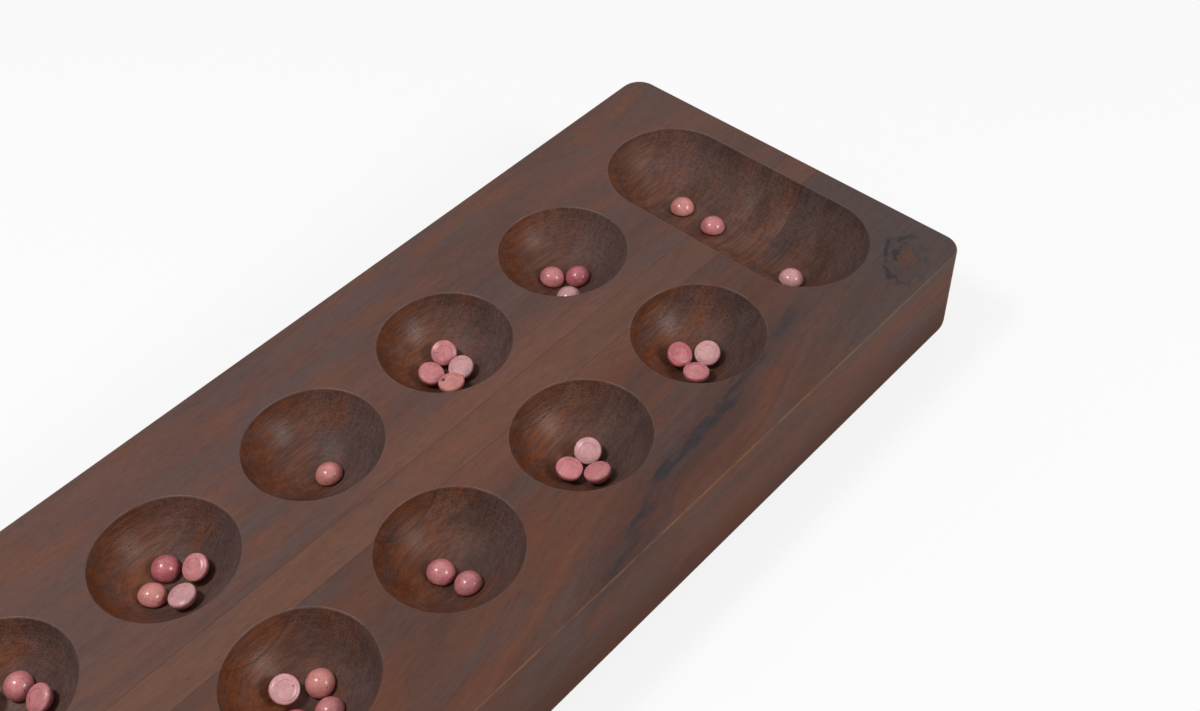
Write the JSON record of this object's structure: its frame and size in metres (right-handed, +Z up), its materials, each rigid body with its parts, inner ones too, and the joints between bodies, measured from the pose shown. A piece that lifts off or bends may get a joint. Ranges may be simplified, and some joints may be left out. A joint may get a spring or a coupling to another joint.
{
  "type": "mancala board",
  "caption": "Thick hardwood mancala board glued from planks, with two rows of round pits, a long store across each end, and loose polished stone counters.",
  "frame": {"origin": "centre of the board's footprint, on the flat underside that it rests on", "axes": "+X along the board's length, +Y across its width from the near row of pits to the far row, +Z up out of the pits"},
  "size_m": [0.55, 0.176, 0.048],
  "materials": {
    "plank_far": "dark purple brown hardwood, satin lacquer",
    "plank_middle": "lighter orange brown hardwood, satin lacquer",
    "plank_near": "reddish brown hardwood with a dark streak, satin lacquer",
    "stone_salmon": "polished",
    "stone_rose": "polished",
    "stone_deep_pink": "polished",
    "stone_pale_pink": "polished"
  },
  "bodies": {
    "board": {"far_plank": "plank_far", "middle_plank": "plank_middle", "near_plank": "plank_near"},
    "near_pit_1_stone_1": {"near_pit_1_stone_1": "stone_deep_pink"},
    "near_pit_1_stone_2": {"near_pit_1_stone_2": "stone_pale_pink"},
    "near_pit_1_stone_3": {"near_pit_1_stone_3": "stone_rose"},
    "near_pit_2_stone_1": {"near_pit_2_stone_1": "stone_pale_pink"},
    "near_pit_2_stone_2": {"near_pit_2_stone_2": "stone_rose"},
    "near_pit_2_stone_3": {"near_pit_2_stone_3": "stone_rose"},
    "near_pit_3_stone_1": {"near_pit_3_stone_1": "stone_rose"},
    "near_pit_3_stone_2": {"near_pit_3_stone_2": "stone_rose"},
    "near_pit_4_stone_1": {"near_pit_4_stone_1": "stone_salmon"},
    "near_pit_4_stone_2": {"near_pit_4_stone_2": "stone_pale_pink"},
    "near_pit_4_stone_3": {"near_pit_4_stone_3": "stone_deep_pink"},
    "near_pit_4_stone_4": {"near_pit_4_stone_4": "stone_rose"},
    "near_pit_5_stone_1": {"near_pit_5_stone_1": "stone_rose"},
    "near_pit_5_stone_2": {"near_pit_5_stone_2": "stone_deep_pink"},
    "near_pit_6_stone_1": {"near_pit_6_stone_1": "stone_pale_pink"},
    "near_pit_6_stone_2": {"near_pit_6_stone_2": "stone_rose"},
    "near_pit_6_stone_3": {"near_pit_6_stone_3": "stone_salmon"},
    "near_pit_6_stone_4": {"near_pit_6_stone_4": "stone_rose"},
    "near_pit_6_stone_5": {"near_pit_6_stone_5": "stone_deep_pink"},
    "far_pit_1_stone_1": {"far_pit_1_stone_1": "stone_rose"},
    "far_pit_1_stone_2": {"far_pit_1_stone_2": "stone_deep_pink"},
    "far_pit_1_stone_3": {"far_pit_1_stone_3": "stone_pale_pink"},
    "far_pit_2_stone_1": {"far_pit_2_stone_1": "stone_rose"},
    "far_pit_2_stone_2": {"far_pit_2_stone_2": "stone_pale_pink"},
    "far_pit_2_stone_3": {"far_pit_2_stone_3": "stone_rose"},
    "far_pit_2_stone_4": {"far_pit_2_stone_4": "stone_salmon"},
    "far_pit_3_stone_1": {"far_pit_3_stone_1": "stone_salmon"},
    "far_pit_4_stone_1": {"far_pit_4_stone_1": "stone_rose"},
    "far_pit_4_stone_2": {"far_pit_4_stone_2": "stone_deep_pink"},
    "far_pit_4_stone_3": {"far_pit_4_stone_3": "stone_salmon"},
    "far_pit_4_stone_4": {"far_pit_4_stone_4": "stone_pale_pink"},
    "far_pit_5_stone_1": {"far_pit_5_stone_1": "stone_rose"},
    "far_pit_5_stone_2": {"far_pit_5_stone_2": "stone_salmon"},
    "far_pit_5_stone_3": {"far_pit_5_stone_3": "stone_pale_pink"},
    "far_pit_5_stone_4": {"far_pit_5_stone_4": "stone_deep_pink"},
    "far_pit_5_stone_5": {"far_pit_5_stone_5": "stone_rose"},
    "far_pit_6_stone_1": {"far_pit_6_stone_1": "stone_pale_pink"},
    "far_pit_6_stone_2": {"far_pit_6_stone_2": "stone_salmon"},
    "far_pit_6_stone_3": {"far_pit_6_stone_3": "stone_deep_pink"},
    "right_store_stone_1": {"right_store_stone_1": "stone_salmon"},
    "right_store_stone_2": {"right_store_stone_2": "stone_rose"},
    "right_store_stone_3": {"right_store_stone_3": "stone_pale_pink"},
    "left_store_stone_1": {"left_store_stone_1": "stone_rose"},
    "left_store_stone_2": {"left_store_stone_2": "stone_pale_pink"},
    "left_store_stone_3": {"left_store_stone_3": "stone_deep_pink"},
    "left_store_stone_4": {"left_store_stone_4": "stone_salmon"},
    "left_store_stone_5": {"left_store_stone_5": "stone_rose"},
    "left_store_stone_6": {"left_store_stone_6": "stone_salmon"}
  },
  "joints": [
    {"name": "near_pit_1_stone_1_lift", "type": "slide", "parent": "board", "child": "near_pit_1_stone_1", "axis": [0, 0, 1], "range_m": [0, 0.06]},
    {"name": "near_pit_1_stone_2_lift", "type": "slide", "parent": "board", "child": "near_pit_1_stone_2", "axis": [0, 0, 1], "range_m": [0, 0.06]},
    {"name": "near_pit_1_stone_3_lift", "type": "slide", "parent": "board", "child": "near_pit_1_stone_3", "axis": [0, 0, 1], "range_m": [0, 0.06]},
    {"name": "near_pit_2_stone_1_lift", "type": "slide", "parent": "board", "child": "near_pit_2_stone_1", "axis": [0, 0, 1], "range_m": [0, 0.06]},
    {"name": "near_pit_2_stone_2_lift", "type": "slide", "parent": "board", "child": "near_pit_2_stone_2", "axis": [0, 0, 1], "range_m": [0, 0.06]},
    {"name": "near_pit_2_stone_3_lift", "type": "slide", "parent": "board", "child": "near_pit_2_stone_3", "axis": [0, 0, 1], "range_m": [0, 0.06]},
    {"name": "near_pit_3_stone_1_lift", "type": "slide", "parent": "board", "child": "near_pit_3_stone_1", "axis": [0, 0, 1], "range_m": [0, 0.06]},
    {"name": "near_pit_3_stone_2_lift", "type": "slide", "parent": "board", "child": "near_pit_3_stone_2", "axis": [0, 0, 1], "range_m": [0, 0.06]},
    {"name": "near_pit_4_stone_1_lift", "type": "slide", "parent": "board", "child": "near_pit_4_stone_1", "axis": [0, 0, 1], "range_m": [0, 0.06]},
    {"name": "near_pit_4_stone_2_lift", "type": "slide", "parent": "board", "child": "near_pit_4_stone_2", "axis": [0, 0, 1], "range_m": [0, 0.06]},
    {"name": "near_pit_4_stone_3_lift", "type": "slide", "parent": "board", "child": "near_pit_4_stone_3", "axis": [0, 0, 1], "range_m": [0, 0.06]},
    {"name": "near_pit_4_stone_4_lift", "type": "slide", "parent": "board", "child": "near_pit_4_stone_4", "axis": [0, 0, 1], "range_m": [0, 0.06]},
    {"name": "near_pit_5_stone_1_lift", "type": "slide", "parent": "board", "child": "near_pit_5_stone_1", "axis": [0, 0, 1], "range_m": [0, 0.06]},
    {"name": "near_pit_5_stone_2_lift", "type": "slide", "parent": "board", "child": "near_pit_5_stone_2", "axis": [0, 0, 1], "range_m": [0, 0.06]},
    {"name": "near_pit_6_stone_1_lift", "type": "slide", "parent": "board", "child": "near_pit_6_stone_1", "axis": [0, 0, 1], "range_m": [0, 0.06]},
    {"name": "near_pit_6_stone_2_lift", "type": "slide", "parent": "board", "child": "near_pit_6_stone_2", "axis": [0, 0, 1], "range_m": [0, 0.06]},
    {"name": "near_pit_6_stone_3_lift", "type": "slide", "parent": "board", "child": "near_pit_6_stone_3", "axis": [0, 0, 1], "range_m": [0, 0.06]},
    {"name": "near_pit_6_stone_4_lift", "type": "slide", "parent": "board", "child": "near_pit_6_stone_4", "axis": [0, 0, 1], "range_m": [0, 0.06]},
    {"name": "near_pit_6_stone_5_lift", "type": "slide", "parent": "board", "child": "near_pit_6_stone_5", "axis": [0, 0, 1], "range_m": [0, 0.06]},
    {"name": "far_pit_1_stone_1_lift", "type": "slide", "parent": "board", "child": "far_pit_1_stone_1", "axis": [0, 0, 1], "range_m": [0, 0.06]},
    {"name": "far_pit_1_stone_2_lift", "type": "slide", "parent": "board", "child": "far_pit_1_stone_2", "axis": [0, 0, 1], "range_m": [0, 0.06]},
    {"name": "far_pit_1_stone_3_lift", "type": "slide", "parent": "board", "child": "far_pit_1_stone_3", "axis": [0, 0, 1], "range_m": [0, 0.06]},
    {"name": "far_pit_2_stone_1_lift", "type": "slide", "parent": "board", "child": "far_pit_2_stone_1", "axis": [0, 0, 1], "range_m": [0, 0.06]},
    {"name": "far_pit_2_stone_2_lift", "type": "slide", "parent": "board", "child": "far_pit_2_stone_2", "axis": [0, 0, 1], "range_m": [0, 0.06]},
    {"name": "far_pit_2_stone_3_lift", "type": "slide", "parent": "board", "child": "far_pit_2_stone_3", "axis": [0, 0, 1], "range_m": [0, 0.06]},
    {"name": "far_pit_2_stone_4_lift", "type": "slide", "parent": "board", "child": "far_pit_2_stone_4", "axis": [0, 0, 1], "range_m": [0, 0.06]},
    {"name": "far_pit_3_stone_1_lift", "type": "slide", "parent": "board", "child": "far_pit_3_stone_1", "axis": [0, 0, 1], "range_m": [0, 0.06]},
    {"name": "far_pit_4_stone_1_lift", "type": "slide", "parent": "board", "child": "far_pit_4_stone_1", "axis": [0, 0, 1], "range_m": [0, 0.06]},
    {"name": "far_pit_4_stone_2_lift", "type": "slide", "parent": "board", "child": "far_pit_4_stone_2", "axis": [0, 0, 1], "range_m": [0, 0.06]},
    {"name": "far_pit_4_stone_3_lift", "type": "slide", "parent": "board", "child": "far_pit_4_stone_3", "axis": [0, 0, 1], "range_m": [0, 0.06]},
    {"name": "far_pit_4_stone_4_lift", "type": "slide", "parent": "board", "child": "far_pit_4_stone_4", "axis": [0, 0, 1], "range_m": [0, 0.06]},
    {"name": "far_pit_5_stone_1_lift", "type": "slide", "parent": "board", "child": "far_pit_5_stone_1", "axis": [0, 0, 1], "range_m": [0, 0.06]},
    {"name": "far_pit_5_stone_2_lift", "type": "slide", "parent": "board", "child": "far_pit_5_stone_2", "axis": [0, 0, 1], "range_m": [0, 0.06]},
    {"name": "far_pit_5_stone_3_lift", "type": "slide", "parent": "board", "child": "far_pit_5_stone_3", "axis": [0, 0, 1], "range_m": [0, 0.06]},
    {"name": "far_pit_5_stone_4_lift", "type": "slide", "parent": "board", "child": "far_pit_5_stone_4", "axis": [0, 0, 1], "range_m": [0, 0.06]},
    {"name": "far_pit_5_stone_5_lift", "type": "slide", "parent": "board", "child": "far_pit_5_stone_5", "axis": [0, 0, 1], "range_m": [0, 0.06]},
    {"name": "far_pit_6_stone_1_lift", "type": "slide", "parent": "board", "child": "far_pit_6_stone_1", "axis": [0, 0, 1], "range_m": [0, 0.06]},
    {"name": "far_pit_6_stone_2_lift", "type": "slide", "parent": "board", "child": "far_pit_6_stone_2", "axis": [0, 0, 1], "range_m": [0, 0.06]},
    {"name": "far_pit_6_stone_3_lift", "type": "slide", "parent": "board", "child": "far_pit_6_stone_3", "axis": [0, 0, 1], "range_m": [0, 0.06]},
    {"name": "right_store_stone_1_lift", "type": "slide", "parent": "board", "child": "right_store_stone_1", "axis": [0, 0, 1], "range_m": [0, 0.06]},
    {"name": "right_store_stone_2_lift", "type": "slide", "parent": "board", "child": "right_store_stone_2", "axis": [0, 0, 1], "range_m": [0, 0.06]},
    {"name": "right_store_stone_3_lift", "type": "slide", "parent": "board", "child": "right_store_stone_3", "axis": [0, 0, 1], "range_m": [0, 0.06]},
    {"name": "left_store_stone_1_lift", "type": "slide", "parent": "board", "child": "left_store_stone_1", "axis": [0, 0, 1], "range_m": [0, 0.06]},
    {"name": "left_store_stone_2_lift", "type": "slide", "parent": "board", "child": "left_store_stone_2", "axis": [0, 0, 1], "range_m": [0, 0.06]},
    {"name": "left_store_stone_3_lift", "type": "slide", "parent": "board", "child": "left_store_stone_3", "axis": [0, 0, 1], "range_m": [0, 0.06]},
    {"name": "left_store_stone_4_lift", "type": "slide", "parent": "board", "child": "left_store_stone_4", "axis": [0, 0, 1], "range_m": [0, 0.06]},
    {"name": "left_store_stone_5_lift", "type": "slide", "parent": "board", "child": "left_store_stone_5", "axis": [0, 0, 1], "range_m": [0, 0.06]},
    {"name": "left_store_stone_6_lift", "type": "slide", "parent": "board", "child": "left_store_stone_6", "axis": [0, 0, 1], "range_m": [0, 0.06]}
  ]
}
